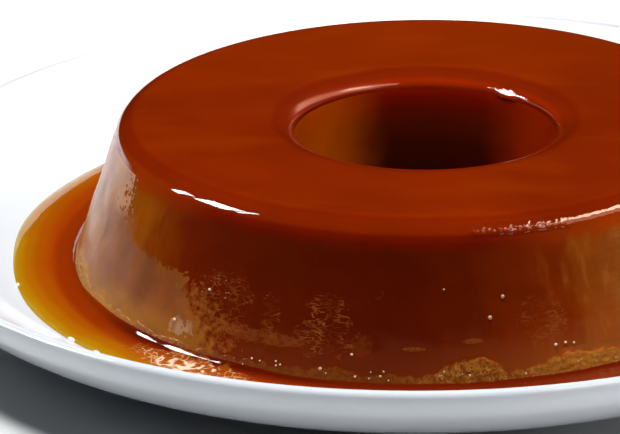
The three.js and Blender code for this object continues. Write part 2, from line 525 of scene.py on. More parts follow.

# Painted shade on the film on the wall of the hole, by the height: darker deeper down,
# where little light reaches it.
HOLE_PAINTED_SHADE_TINTS = (
    (20, (0.04, 0.0045, 0.0003)),
    (28, (0.062, 0.0075, 0.0004)),
    (34, (0.105, 0.0115, 0.0004)),
    (39, (0.175, 0.011, 0.0004)),
    (42, (0.27, 0.011, 0.0004)),
    (45.5, (0.45, 0.017, 0.0006)),
)
# Painted light on the hole's wall at the left, brighter near its top, and at the right.
HOLE_LEFT_PAINTED_LIGHT = (0.84, 0.165, 0.001)
HOLE_LEFT_PAINTED_LIGHT_TOP = (0.98, 0.15, 0.001)
HOLE_RIGHT_PAINTED_LIGHT = (0.68, 0.05, 0.001)
FILM_BEHIND = (0.15, 0.013, 0.0006)
OCHRE = (0.4, 0.092, 0.002)
LOW_FILM = (0.2, 0.024, 0.0012)
LOW_FILM_RIGHT = (0.29, 0.08, 0.006)
BARE_CUSTARD = (0.5, 0.16, 0.028)
CREASE = (0.25, 0.062, 0.01)
# Painted pale sheen, high at the left.
UPPER_PALE_SHEEN = (0.62, 0.31, 0.17)
YELLOWED = (0.46, 0.19, 0.007)
YELLOWED_DARK = (0.32, 0.105, 0.0025)
YELLOWED_FRONT = (0.25, 0.078, 0.004)
# A painted highlight on the wet skin at the left.
PAINTED_HIGHLIGHT_SPOT = (0.54, 0.34, 0.2)
CRUST = (0.27, 0.084, 0.008)
CRUST_PIT = (0.165, 0.038, 0.0028)
CRUST_RIDGE = (0.37, 0.155, 0.032)
CRUST_FRONT = (0.125, 0.02, 0.001)
CRUST_RIGHT = (0.38, 0.135, 0.01)
CRUST_LEFT = (0.5, 0.23, 0.022)


def tinted(tree, value, tints):
    """A colour that changes softly with a value, through pairs of a value and a colour."""
    colour = tints[0][1]
    for (low, _), (high, after) in zip(tints, tints[1:]):
        colour = tint(tree, fade(tree, value, low, high), colour, after)
    return colour


def dimmed(tree, colour, factor):
    """The colour, multiplied by a factor."""
    grey = node(tree, "ShaderNodeCombineColor", {0: factor, 1: factor, 2: factor}).outputs[0]
    return tint(tree, 1.0, colour, grey, "MULTIPLY")


def swayed(tree, value, cloud, reach):
    """The value, moved up and down by a noise that reaches about a fifth of reach each way."""
    return maths(tree, "MULTIPLY_ADD", cloud, reach, maths(tree, "ADD", value, -reach / 2))


def place_on_ring():
    """Node group: the turn in degrees, and the height and radius in mm, of a point."""
    group = bpy.data.node_groups.new("place_on_ring", "ShaderNodeTree")
    group.interface.new_socket("Point", in_out="INPUT", socket_type="NodeSocketVector")
    for name in ("Turn", "Height", "Radius"):
        group.interface.new_socket(name, in_out="OUTPUT", socket_type="NodeSocketFloat")
    given = group.nodes.new("NodeGroupInput")
    result = group.nodes.new("NodeGroupOutput")
    parts = axes(group, given.outputs["Point"])
    turn = maths(group, "ARCTAN2", parts["X"], times(group, parts["Y"], -1.0))
    flat = node(group, "ShaderNodeCombineXYZ", {0: parts["X"], 1: parts["Y"]})
    radius = node(group, "ShaderNodeVectorMath", {0: flat.outputs[0]}, operation="LENGTH")
    group.links.new(times(group, turn, math.degrees(1)), result.inputs["Turn"])
    group.links.new(times(group, parts["Z"], 1000.0), result.inputs["Height"])
    group.links.new(times(group, radius.outputs["Value"], 1000.0), result.inputs["Radius"])
    return group


# The caramel's colour by the height: the red-orange band at the side, and the top over it.
CARAMEL_TINTS = (
    (42.4, (0.115, 0.008, 0.0005)),
    (44.2, (0.14, 0.0065, 0.0004)),
    (45.8, (0.19, 0.0085, 0.0004)),
    (47.2, (0.232, 0.016, 0.0005)),
    (49.0, (0.19, 0.0138, 0.0005)),
    (49.9, (0.18, 0.0112, 0.0005)),
    (50.3, (0.2, 0.015, 0.0005)),
)
CLEAR_CARAMEL = (0.42, 0.046, 0.0018)
# Painted shade on the near lip of the hole, and painted light on its far lip.
LIP_PAINTED_SHADE = (0.09, 0.006, 0.0004)
FAR_LIP_PAINTED_LIGHT = (0.34, 0.012, 0.0005)


def caramel_depth_and_painted_shade():
    """Node group: the caramel's colour, clear orange-red at the top and darker down the side,
    with painted shade down the lip into the hole and painted light on the lip's far side.
    """
    group = bpy.data.node_groups.new("caramel_depth_and_painted_shade", "ShaderNodeTree")
    for name in ("Turn", "Height", "Radius", "Cloud"):
        group.interface.new_socket(name, in_out="INPUT", socket_type="NodeSocketFloat")
    group.interface.new_socket("Color", in_out="OUTPUT", socket_type="NodeSocketColor")
    given = group.nodes.new("NodeGroupInput")
    result = group.nodes.new("NodeGroupOutput")
    turn = given.outputs["Turn"]
    height = given.outputs["Height"]
    colour = tinted(group, height, CARAMEL_TINTS)
    clear_left = fade(group, turn, -36.0, -60.0, 0.0, 0.85)
    clear_right = fade(group, turn, 8.0, 34.0)
    clear = maths(group, "MAXIMUM", clear_left, clear_right)
    clear = times(group, clear, fade(group, height, 48.6, 46.0))
    colour = tint(group, clear, colour, CLEAR_CARAMEL)
    # Painted shade down the lip into the hole, with painted light on its far side.
    in_hole = fade(group, given.outputs["Radius"], 62.0, 50.0)
    in_hole = times(group, in_hole, fade(group, height, 49.3, 46.5), 0.7)
    far_side = fade(group, maths(group, "ABSOLUTE", turn), 60.0, 110.0)
    colour = tint(group, in_hole, colour, tint(group, far_side, LIP_PAINTED_SHADE, FAR_LIP_PAINTED_LIGHT))
    colour = dimmed(group, colour, fade(group, given.outputs["Cloud"], 0.3, 0.7, 0.9, 1.1))
    group.links.new(colour, result.inputs["Color"])
    return group


ring_group = place_on_ring()
caramel_group = caramel_depth_and_painted_shade()


def ring_place(tree):
    """The point from the flan's axis, and the outputs that give its turn, height and radius."""
    inputs = {
        "Vector": node(tree, "ShaderNodeTexCoord").outputs["Object"],
        "Location": (-FLAN_CENTRE[0], -FLAN_CENTRE[1], 0),
    }
    point = node(tree, "ShaderNodeMapping", inputs).outputs["Vector"]
    return point, node(tree, "ShaderNodeGroup", {"Point": point}, node_tree=ring_group).outputs


def caramel_at(tree, ring, cloud):
    """The caramel's colour at a place on the ring."""
    inputs = {name: ring[name] for name in ("Turn", "Height", "Radius")}
    inputs["Cloud"] = cloud
    return node(tree, "ShaderNodeGroup", inputs, node_tree=caramel_group).outputs["Color"]


def stretched(tree, point, scale):
    """The point with its X, Y and Z scaled, to draw a pattern out along one of them."""
    return node(tree, "ShaderNodeMapping", {"Vector": point, "Scale": scale}).outputs["Vector"]


def ridges(tree, point, scale, width, detail=2.0):
    """Thin wandering lines, 1 along their middle, drawn where a noise crosses its mean."""
    inputs = {"Vector": point, "Scale": scale, "Detail": detail, "Distortion": 0.4}
    value = node(tree, "ShaderNodeTexNoise", inputs).outputs["Fac"]
    off = maths(tree, "ABSOLUTE", maths(tree, "SUBTRACT", value, 0.5))
    return fade(tree, off, width, 0.0)


def patch(tree, turn, height, ragged, centre, half):
    """A soft-edged oval round a turn and height, made ragged by a noise."""
    across = maths(tree, "MULTIPLY_ADD", turn, 1 / half[0], -centre[0] / half[0])
    up = maths(tree, "MULTIPLY_ADD", height, 1 / half[1], -centre[1] / half[1])
    square = maths(tree, "MULTIPLY_ADD", up, up, times(tree, across, across))
    return fade(tree, maths(tree, "ADD", square, ragged), 1.15, 0.75)


tree, shader = new_material("baked_custard", custard)
point, ring = ring_place(tree)
turn = ring["Turn"]
height = ring["Height"]
outside = fade(tree, ring["Radius"], 50.0, 70.0)
coarse = noise(tree, point, 28.0, 2.0)
middle = noise(tree, point, 110.0, 3.0)
fine = noise(tree, point, 520.0, 3.0, 0.6)
upright = noise(tree, stretched(tree, point, (1.0, 1.0, 0.12)), 260.0, 2.0)
wrinkle_point = stretched(tree, point, (1.0, 1.0, 2.6))
wrinkles = ridges(tree, wrinkle_point, 270.0, 0.045)
specks = fade(tree, noise(tree, wrinkle_point, 560.0, 1.0), 0.56, 0.66)

# The wet film, thin and streaked at both ends of the front and lighter low down; its dark
# front and lighter ends are partly painted light and shade.
wandered = swayed(tree, swayed(tree, turn, middle, 7.0), upright, 5.0)
colour = tinted(tree, wandered, FILM_AND_PAINTED_LIGHT_TINTS)
behind = fade(tree, maths(tree, "ABSOLUTE", turn), 66.0, 95.0)
film_behind = tint(tree, fade(tree, coarse, 0.42, 0.6), FILM_BEHIND, OCHRE)
colour = tint(tree, behind, colour, film_behind)
streak_left = fade(tree, wandered, -40.0, -60.0, 0.0, 0.15)
streak_right = fade(tree, wandered, 16.0, 36.0, 0.0, 0.4)
streak = maths(tree, "ADD", streak_left, streak_right)
streak = times(tree, streak, fade(tree, upright, 0.5, 0.68))
colour = tint(tree, streak, colour, BARE_CUSTARD)
lower = fade(tree, maths(tree, "MULTIPLY_ADD", middle, 6.0, height), 24.5, 15.0)
lower = times(tree, lower, fade(tree, turn, -10.0, 10.0, 0.22, 0.5))
low_film = tint(tree, fade(tree, turn, 0.0, 25.0), LOW_FILM, LOW_FILM_RIGHT)
colour = tint(tree, lower, colour, low_film)

# The pale part at the left, worn skin under a painted sheen of the bright surroundings: all of
# the side past an edge that runs down and then to the front.
ragged_height = swayed(tree, swayed(tree, height, middle, 3.0), fine, 5.0)
edge_turn = fade(tree, ragged_height, 31.8, 27.0, -61.5, -38.5)
edge_turn = maths(tree, "ADD", edge_turn, fade(tree, height, 35.0, 44.0, 0.0, -1.5))
edge_turn = maths(tree, "ADD", edge_turn, fade(tree, ragged_height, 25.0, 19.0, 0.0, 4.5))
ragged_turn = swayed(tree, swayed(tree, turn, middle, 12.0), fine, 20.0)
past_edge = maths(tree, "SUBTRACT", ragged_turn, edge_turn)
soft = fade(tree, height, 28.0, 26.0, 0.5, 3.0)
past_range = {"Value": past_edge, "From Min": soft, "From Max": times(tree, soft, -1.0)}
pale = node(tree, "ShaderNodeMapRange", past_range).outputs["Result"]
pale = times(tree, pale, fade(tree, turn, -100.0, -84.0))
pale_colour = tinted(tree, turn, PALE_SHEEN_TINTS)
upper_left = times(tree, fade(tree, height, 31.0, 39.0), fade(tree, turn, -52.0, -62.0))
pale_colour = tint(tree, upper_left, pale_colour, UPPER_PALE_SHEEN)
yellowed = tint(tree, fine, YELLOWED, YELLOWED_DARK)
yellowed = tint(tree, fade(tree, turn, -56.0, -42.0, 0.0, 0.8), yellowed, YELLOWED_FRONT)
pale_colour = tint(tree, fade(tree, height, 20.0, 13.0), pale_colour, yellowed)
pale_colour = dimmed(tree, pale_colour, fade(tree, middle, 0.35, 0.65, 0.86, 1.1))
# A painted highlight: a whitish spot where the wet skin mirrors the light.
painted_glint_edge = maths(tree, "MULTIPLY_ADD", fine, 5.0, -2.3)
painted_glint = patch(tree, turn, height, painted_glint_edge, (-40.0, 16.0), (2.6, 2.4))
painted_glint = times(tree, painted_glint, fade(tree, upright, 0.42, 0.6, 0.1, 0.45))
pale_colour = tint(tree, painted_glint, pale_colour, PAINTED_HIGHLIGHT_SPOT)
colour = tint(tree, pale, colour, pale_colour)

# The worn patches, bare or wrinkled.
ragged = swayed(tree, swayed(tree, 0.0, middle, 2.4), fine, 1.6)
bare = 0.0
wrinkled = 0.0
for at_turn, at_height, half_turn, half_height, bareness, creased in WORN_PATCHES:
    place = patch(tree, turn, height, ragged, (at_turn, at_height), (half_turn, half_height))
    bare = maths(tree, "MAXIMUM", bare, times(tree, place, bareness))
    wrinkled = maths(tree, "MAXIMUM", wrinkled, times(tree, place, creased))
wrinkled = times(tree, wrinkled, maths(tree, "SUBTRACT", 1.0, pale))
bare = times(tree, bare, fade(tree, fine, 0.4, 0.52, 0.35, 1.0))
lines = maths(tree, "MAXIMUM", wrinkles, times(tree, specks, 0.5))
broken = fade(tree, noise(tree, point, 190.0, 1.0), 0.4, 0.6, 0.15, 0.85)
lines = times(tree, lines, wrinkled, broken)
colour = tint(tree, lines, colour, CREASE)
colour = tint(tree, bare, colour, CREASE)

# The crust, golden and lighter at both ends and darker in front.
crust_vertex = kept_value(tree, "crust_share")
crusty = swayed(tree, swayed(tree, crust_vertex, fine, 1.2), middle, 0.8)
crusty = fade(tree, crusty, 0.25, 0.85)
pitted = fade(tree, noise(tree, point, 700.0, 2.0), 0.38, 0.64)
crust_colour = tint(tree, pitted, CRUST_PIT, CRUST)
crust_right = fade(tree, turn, 10.0, 26.0, 0.0, 0.7)
crust_colour = tint(tree, crust_right, crust_colour, CRUST_RIGHT)
crust_colour = tint(tree, ridges(tree, point, 560.0, 0.04), crust_colour, CRUST_RIDGE)
crust_front = fade(tree, turn, 1.0, -6.0, 0.0, 0.75)
crust_front = times(tree, crust_front, fade(tree, turn, -42.0, -32.0))
crust_colour = tint(tree, crust_front, crust_colour, CRUST_FRONT)
crust_left = fade(tree, turn, -46.0, -60.0, 0.0, 0.8)
crust_colour = tint(tree, crust_left, crust_colour, CRUST_LEFT)
colour = tint(tree, crusty, colour, crust_colour)

# In the hole the film has painted shade deep down, and painted light at the left and the right.
across = times(tree, axes(tree, point)["X"], 1000.0)
across = swayed(tree, across, middle, 6.0)
hole_light_and_shade = tinted(tree, height, HOLE_PAINTED_SHADE_TINTS)
hole_left_painted_light = tint(tree, fade(tree, height, 33.0, 44.0), HOLE_LEFT_PAINTED_LIGHT, HOLE_LEFT_PAINTED_LIGHT_TOP)
hole_light_and_shade = tint(tree, fade(tree, across, -10.0, -34.0), hole_light_and_shade, hole_left_painted_light)
hole_light_and_shade = tint(tree, fade(tree, across, 16.0, 39.0), hole_light_and_shade, HOLE_RIGHT_PAINTED_LIGHT)
colour = tint(tree, outside, hole_light_and_shade, colour)

# Caramel that ran down over the custard's top edge.
run_down = maths(tree, "MULTIPLY_ADD", upright, -3.0, height)
topped = times(tree, fade(tree, run_down, 39.5, 43.3), outside)
topped = times(tree, topped, maths(tree, "SUBTRACT", 1.0, pale))
colour = tint(tree, topped, colour, caramel_at(tree, ring, coarse))

rough = maths(tree, "MAXIMUM", maths(tree, "MAXIMUM", bare, lines), pale)
rough = fade(tree, rough, 0.05, 0.9, 0.13, 0.24)
rough = maths(tree, "MAXIMUM", rough, times(tree, crusty, 0.34))
set_colour(tree, shader, colour, rough, 1.38)
shader.inputs["Specular Tint"].default_value = (1.0, 0.3, 0.12, 1)
relief = times(tree, wrinkles, wrinkled, outside, 0.05)
grain = times(tree, fine, fade(tree, crusty, 0.0, 1.0, 0.05, 0.5))
relief = maths(tree, "ADD", relief, grain)
relief = maths(tree, "ADD", relief, times(tree, middle, 0.5))
set_relief(tree, shader, relief, 0.6)

crust_values = []
for vertex in custard.data.vertices:
    turn, radius = on_ring(vertex.co)
    crust_values.append(crust_share(turn, vertex.co.z, radius))
keep_values(custard, "crust_share", crust_values)

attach(custard, "root")
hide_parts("custard")


# Caramel layer. The caramel that set in the bottom of the mould and now lies on top: clear,
# deep red-brown and very glossy, round at its outer edge and at the lip of the hole.

EDGE_INSET = 0.0054
EDGE_DROP = 0.005
LIP_ROUND = 0.01
LIP_DROP = 0.005
FLAT_MARGIN = 0.008  # width of the close rows on the flat top, beside each rounding
CARAMEL_STEPS = 480

bpy.ops.object.select_all(action="DESELECT")
edge_width = side_radius(FLAN_TOP - EDGE_DROP) - TOP_RADIUS + EDGE_INSET
slope = (BASE_RADIUS - TOP_RADIUS) / (FLAN_TOP - SAUCE_LEVEL)
edge_start = math.atan(slope * EDGE_DROP / edge_width)  # where the rounding meets the sloping side
edge_foot = FLAN_TOP - EDGE_DROP + EDGE_DROP * math.sin(edge_start)
edge_middle = side_radius(edge_foot) - edge_width * math.cos(edge_start)
edge_from = math.degrees(edge_start)
edge = arc(edge_middle, FLAN_TOP - EDGE_DROP, edge_width, EDGE_DROP, edge_from, 90, 24)
hole_slope = (HOLE_TOP_RADIUS - HOLE_BASE_RADIUS) / (FLAN_TOP - FLAN_BASE)
lip_end = math.atan(hole_slope * LIP_DROP / LIP_ROUND)  # and where the lip meets the hole's wall
lip_foot = FLAN_TOP - LIP_DROP + LIP_DROP * math.sin(lip_end)
lip_middle = hole_radius(lip_foot) + LIP_ROUND * math.cos(lip_end)
lip_to = 180 - math.degrees(lip_end)
lip = arc(lip_middle, FLAN_TOP - LIP_DROP, LIP_ROUND, LIP_DROP, 90, lip_to, 24)
outer_flat = between(edge[-1], (edge[-1][0] - FLAT_MARGIN, FLAN_TOP), 4)
inner_flat = between((lip[0][0] + FLAT_MARGIN, FLAN_TOP), lip[0], 4)
bed = between((hole_radius(LAYER_BASE), LAYER_BASE), (side_radius(LAYER_BASE), LAYER_BASE), 4)
caramel = draw_outline(
    "caramel_layer_top",
    [*edge, *outer_flat[1:], *inner_flat[:-1], *lip, *bed, edge[0]],
)
turn_outline(caramel, CARAMEL_STEPS, FLAN_CENTRE)
spread_base(caramel)
shift_hole(caramel)
bpy.ops.object.shade_smooth_by_angle(angle=SHARP_ANGLE)

# The lip sagged a little at the far right, where it is flat enough to mirror the window. The
# middle of the sag is the place on that part of the lip that faces the most in this direction.
SAG_FACING = mathutils.Vector((-0.521, -0.634, 0.571))
SAG_REACH = 0.0055
SAG_SHARE = 0.8  # how much of the lip's roundness is gone there
LIP_RADIUS = 0.055
LIP_BOTTOM = 0.0455


def on_far_right_lip(place):
    """Whether a place on the caramel is on the lip of the hole, behind its middle at the right."""
    on_lip = on_ring(place)[1] < LIP_RADIUS and place.z > LIP_BOTTOM
    return on_lip and place.y > HOLE_SHIFT_Y and place.x > 0.02


lip_vertices = [vertex for vertex in caramel.data.vertices if on_far_right_lip(vertex.co)]
facing_most = max(lip_vertices, key=lambda vertex: vertex.normal.dot(SAG_FACING))
sag_middle = facing_most.co.copy()
for vertex in caramel.data.vertices:
    apart = (vertex.co - sag_middle).length / SAG_REACH
    if apart < 1:
        above = (vertex.co - sag_middle).dot(SAG_FACING)
        vertex.co -= SAG_FACING * above * SAG_SHARE * (1 - apart**2) ** 2

CARAMEL_INDEX = 1.46
CLEARER_SWIRL = (0.25, 0.026, 0.0006)
DARKER_SWIRL = (0.185, 0.0125, 0.0005)
# Painted light on the top, towards the back.
FAR_TOP_PAINTED_LIGHT = (0.3, 0.032, 0.0006)

tree, shader = new_material("caramel", caramel)
point, ring = ring_place(tree)
turn = ring["Turn"]
height = ring["Height"]
swirl = noise(tree, stretched(tree, point, (1.0, 2.6, 1.0)), 22.0, 3.0)
level = fade(tree, height, 49.6, 50.3)
colour = caramel_at(tree, ring, noise(tree, point, 28.0, 2.0))
clearer = times(tree, fade(tree, swirl, 0.5, 0.72, 0.0, 0.5), level)
colour = tint(tree, clearer, colour, CLEARER_SWIRL)
darker = times(tree, fade(tree, swirl, 0.48, 0.3, 0.0, 0.5), level)
colour = tint(tree, darker, colour, DARKER_SWIRL)
# Painted light: the top is lighter towards the back.
to_back = axes(tree, point)["Y"]
far_top_painted_light = times(tree, fade(tree, to_back, -0.02, 0.08, 0.0, 0.3), level)
colour = tint(tree, far_top_painted_light, colour, FAR_TOP_PAINTED_LIGHT)
soft_lip = times(tree, fade(tree, turn, -20.0, -60.0), fade(tree, turn, -179.0, -150.0))
soft_lip = times(tree, fade(tree, ring["Radius"], 52.0, 46.0), soft_lip)
set_colour(tree, shader, colour, fade(tree, soft_lip, 0.0, 1.0, 0.03, 0.2), CARAMEL_INDEX)
band = times(tree, fade(tree, height, 45.5, 47.0), fade(tree, height, 49.6, 49.0))
beaded = times(tree, band, fade(tree, turn, 4.0, 9.0), fade(tree, turn, 27.0, 22.0, 0.15, 1.0))
beads = times(tree, noise(tree, point, 560.0, 1.0), beaded)
relief = maths(tree, "MULTIPLY_ADD", beads, 2.2, noise(tree, point, 60.0, 1.0))
set_relief(tree, shader, relief, 0.35)

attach(caramel, "root")
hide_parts("caramel_layer")


# Sauce pool. The liquid caramel that ran down round the flan. It climbs a little where it wets
# the custard, and its uneven edge lies on the well and against the plate's rising wall.

POOL_REACH = 0.1206
POOL_WAVES = ((0.0007, 5, 193), (0.0005, 9, 172))  # as the waves of the custard's base
POOL_STEPS = 720
TONGUE = 0.0028  # how much further it ran at one side
TONGUE_AZIMUTH = 154
TONGUE_HALF = 34
POOL_WALL_RADIUS = 0.124
POOL_BLEND = 0.002
POOL_EDGE_WIDTH = 0.007
POOL_EDGE_POWER = 0.75  # how its surface rounds down to its edge: 0.5 is a quarter of an ellipse
NEAR_WALL_ROWS = 14
NEAR_EDGE_ROWS = 22
BOTTOM_ROWS = 10
NEAR_WALL_SHARE = 0.3  # of its width
CLIMB = 0.0015  # at the left front, where most sauce has gathered
CLIMB_TURN = -44
LOW_CLIMB = 0.0007  # elsewhere
CLIMB_REACH = 0.0021
CLIMB_POWER = 2.2
SAUCE_ON_PLATE = 0.00005  # gap that keeps the two surfaces apart
IN_CUSTARD = 0.001
DRAWN_AT = 0.1  # the outline is drawn from this radius to its double, and then shaped
DRAWN_TOP = 0.01


def climb(from_wall, turn):
    """How high the sauce stands over its level at a distance from the wet wall and a turn."""
    high = CLIMB + (LOW_CLIMB - CLIMB) * step(abs(turn - CLIMB_TURN), 15, 26)
    return high * max(0, 1 - from_wall / CLIMB_REACH) ** CLIMB_POWER


def reach_to_wall(azimuth):
    """Where a ray from the flan's axis meets the plate's rising wall."""
    along = FLAN_CENTRE[0] * math.cos(azimuth) + FLAN_CENTRE[1] * math.sin(azimuth)
    apart = math.hypot(*FLAN_CENTRE)
    return -along + math.sqrt(along**2 + POOL_WALL_RADIUS**2 - apart**2)


def plan_place(azimuth, radius):
    """X and Y of a place at an azimuth and a distance from the flan's axis."""
    x = FLAN_CENTRE[0] + radius * math.cos(azimuth)
    return x, FLAN_CENTRE[1] + radius * math.sin(azimuth)


def pool_radius(azimuth):
    """Edge of the pool: its own free reach, or the plate's wall where that is nearer."""
    apart = turned_apart(math.degrees(azimuth), TONGUE_AZIMUTH)
    free = POOL_REACH + waves(POOL_WAVES, azimuth) + TONGUE * (1 - step(apart, 0, TONGUE_HALF))
    wall = reach_to_wall(azimuth)
    return (free + wall - math.hypot(free - wall, POOL_BLEND)) / 2


bpy.ops.object.select_all(action="DESELECT")
shares = [NEAR_WALL_SHARE * (i / NEAR_WALL_ROWS) ** 2 for i in range(NEAR_WALL_ROWS + 1)]
for i in range(1, NEAR_EDGE_ROWS + 1):
    shares.append(1 - (1 - NEAR_WALL_SHARE) * (1 - i / NEAR_EDGE_ROWS) ** 1.8)
surface = [(DRAWN_AT * (1 + share), DRAWN_TOP) for share in shares]
bottom = [(DRAWN_AT * (1 + i / BOTTOM_ROWS), 0.0) for i in range(BOTTOM_ROWS + 1)]
pool = draw_outline("sauce_round_flan", [*bottom, *reversed(surface), bottom[0]])
turn_outline(pool, POOL_STEPS, FLAN_CENTRE)
shore_values = []
wall_values = []
for vertex in pool.data.vertices:
    turn, radius = on_ring(vertex.co)
    azimuth = azimuth_at(turn)
    share = radius / DRAWN_AT - 1
    edge_at = pool_radius(azimuth)
    wall_at = side_radius(SAUCE_LEVEL) + side_bulge(azimuth, SAUCE_LEVEL)
    radius = wall_at - IN_CUSTARD + (edge_at - wall_at + IN_CUSTARD) * share
    place_x, place_y = plan_place(azimuth, radius)
    under = plate_surface(math.hypot(place_x, place_y)) + SAUCE_ON_PLATE
    if vertex.co.z < DRAWN_TOP / 2:
        place_z = under
    else:
        from_wall = max(0, radius - wall_at)
        from_edge = min(1, max(0, (edge_at - radius) / POOL_EDGE_WIDTH))
        rise = (1 - (1 - from_edge) ** 2) ** POOL_EDGE_POWER
        place_z = under + (SAUCE_LEVEL + climb(from_wall, turn) - under) * rise
    vertex.co = (place_x, place_y, place_z)
    shore_values.append(1000 * (edge_at - radius))
    wall_values.append(1000 * (radius - wall_at))
keep_values(pool, "to_shore", shore_values)
keep_values(pool, "to_wall", wall_values)

# The sauce's colour by how far in from its shore it is, in mm: thin and yellow, then red.
SAUCE_TINTS = (
    (0.0, (0.42, 0.25, 0.02)),
    (1.6, (0.4, 0.18, 0.002)),
    (4.5, (0.375, 0.112, 0.0012)),
    (8.0, (0.345, 0.069, 0.0008)),
    (13.0, (0.32, 0.039, 0.0006)),
)
# Its colour near the custard's wall, from 7.5 mm to 3.4 mm away and so on.
WALL_TINTS = (
    (7.5, 3.4, (0.23, 0.02, 0.0006)),
    (3.6, 1.6, (0.15, 0.01, 0.0005)),
    (1.6, 0.6, (0.09, 0.006, 0.0005)),
)
LIGHTER_SAUCE_AT_LEFT = (0.25, 0.026, 0.0008)
FRONT_SAUCE = (0.12, 0.009, 0.001)
FOAM_BED = (0.36, 0.085, 0.006)
FOAM = (0.6, 0.3, 0.13)
# Pale ribbons, partly foam and partly painted reflection.
FOAM_AND_REFLECTION_RIBBON = (0.95, 0.68, 0.46)
# A painted reflection in the curved edge of the sauce at the right.
SHORE_PAINTED_REFLECTION = (0.38, 0.155, 0.09)

tree, shader = new_material("caramel_sauce", pool)
point, ring = ring_place(tree)
turn = ring["Turn"]
to_shore = kept_value(tree, "to_shore")
to_wall = kept_value(tree, "to_wall")
coarse = noise(tree, point, 45.0, 2.0)
fine = noise(tree, point, 300.0, 3.0)
colour = tinted(tree, swayed(tree, to_shore, coarse, 5.0), SAUCE_TINTS)
from_wall = swayed(tree, to_wall, coarse, 2.0)
for start, end, wall_colour in WALL_TINTS:
    colour = tint(tree, fade(tree, from_wall, start, end), colour, wall_colour)
# Lighter near the custard's wall at the left.
lighter_at_left = fade(tree, turn, -46.0, -62.0, 0.0, 0.8)
lighter_at_left = times(tree, fade(tree, from_wall, 7.5, 3.4), lighter_at_left)
colour = tint(tree, lighter_at_left, colour, LIGHTER_SAUCE_AT_LEFT)

# Foam at the left front, in thin walls of broken cells with thicker ribbons in its middle; the
# pale ribbons are partly a painted reflection of bright light in the rippled sauce.
foam_edge = swayed(tree, 0.0, fine, 2.0)
foam = patch(tree, turn, to_wall, foam_edge, (-35.0, 5.4), (10.5, 5.2))
warped = node(tree, "ShaderNodeTexNoise", {"Vector": point, "Scale": 260.0}).outputs["Color"]
warp_inputs = {0: warped, 1: (0.004, 0.004, 0.0), 2: point}
warped = node(tree, "ShaderNodeVectorMath", warp_inputs, operation="MULTIPLY_ADD").outputs[0]
cell_inputs = {"Vector": warped, "Scale": 480.0}
cells = node(tree, "ShaderNodeTexVoronoi", cell_inputs, feature="DISTANCE_TO_EDGE")
froth = fade(tree, cells.outputs["Distance"], 0.13, 0.02)
froth = times(tree, froth, fade(tree, fine, 0.42, 0.56))
colour = tint(tree, times(tree, foam, 0.5), colour, FOAM_BED)
colour = tint(tree, times(tree, foam, froth), colour, FOAM)
core = patch(tree, turn, to_wall, foam_edge, (-34.5, 6.2), (6.5, 3.9))
foam_and_reflection_ribbons = times(tree, ridges(tree, point, 190.0, 0.075), core)
colour = tint(tree, foam_and_reflection_ribbons, colour, FOAM_AND_REFLECTION_RIBBON)

# It is dark in front, with a painted reflection, a pale streak along the shore at the right.
front = times(tree, fade(tree, turn, -22.0, -6.0), fade(tree, turn, 60.0, 40.0), 0.8)
colour = tint(tree, front, colour, FRONT_SAUCE)
shore_painted_reflection = times(tree, fade(tree, to_shore, 0.2, 0.9), fade(tree, to_shore, 3.2, 1.8))
shore_painted_reflection = times(tree, shore_painted_reflection, fade(tree, turn, 14.0, 26.0, 0.0, 0.75), fade(tree, turn, 80.0, 50.0))
shore_painted_reflection = times(tree, shore_painted_reflection, fade(tree, coarse, 0.4, 0.52, 0.25, 1.0))
colour = tint(tree, shore_painted_reflection, colour, SHORE_PAINTED_REFLECTION)
set_colour(tree, shader, colour, 0.05, CARAMEL_INDEX)
foam_relief = times(tree, foam, fade(tree, to_wall, 2.2, 3.8), fine)
relief = maths(tree, "MULTIPLY_ADD", foam_relief, 3.0, coarse)
wavy = times(tree, noise(tree, point, 150.0, 1.0), fade(tree, to_wall, 4.0, 1.5))
relief = maths(tree, "MULTIPLY_ADD", wavy, 0.5, relief)
set_relief(tree, shader, relief, 0.4)

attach(pool, "root")
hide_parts("sauce_pool")


# Sauce in the hole. The same liquid caramel, at the same level, on the plate inside the ring.

bpy.ops.object.select_all(action="DESELECT")
HOLE_CENTRE = (FLAN_CENTRE[0], FLAN_CENTRE[1] + HOLE_SHIFT_Y)
CLIMB_ROWS = 12
CLIMB_WIDTH = 0.008
HOLE_SAUCE_STEPS = 144
# Painted shade: the sauce in the hole is dark, and darkest towards the hole's wall.
SHADED_HOLE_SAUCE = (0.15, 0.011, 0.0005)
SHADED_HOLE_SAUCE_AT_WALL = (0.06, 0.0045, 0.0004)

well_bed = WELL_HEIGHT + SAUCE_ON_PLATE
wall_at = hole_radius(SAUCE_LEVEL)
climbing = []
for i in range(CLIMB_ROWS + 1):
    from_wall = CLIMB_WIDTH * (1 - i / CLIMB_ROWS) ** 2
    climbing.append((wall_at - from_wall, SAUCE_LEVEL + climb(from_wall, 90)))
hole_sauce = draw_outline(
    "sauce_in_hole",
    [
        *between((0, well_bed), (wall_at, well_bed), 5),
        *reversed(climbing),
        *between((wall_at - 0.01, SAUCE_LEVEL), (0, SAUCE_LEVEL), 6),
    ],
)
turn_outline(hole_sauce, HOLE_SAUCE_STEPS, HOLE_CENTRE)

tree, shader = new_material("caramel_sauce_in_hole", hole_sauce)
point, ring = ring_place(tree)
coarse = noise(tree, point, 45.0, 2.0)
from_axis = maths(tree, "MULTIPLY_ADD", coarse, 6.0, ring["Radius"])
# Painted shade, darker towards the hole's wall.
colour = tint(tree, fade(tree, from_axis, 14.0, 40.0), SHADED_HOLE_SAUCE, SHADED_HOLE_SAUCE_AT_WALL)
set_colour(tree, shader, colour, 0.05, CARAMEL_INDEX)
set_relief(tree, shader, coarse, 0.4)

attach(hole_sauce, "root")
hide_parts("hole_sauce")


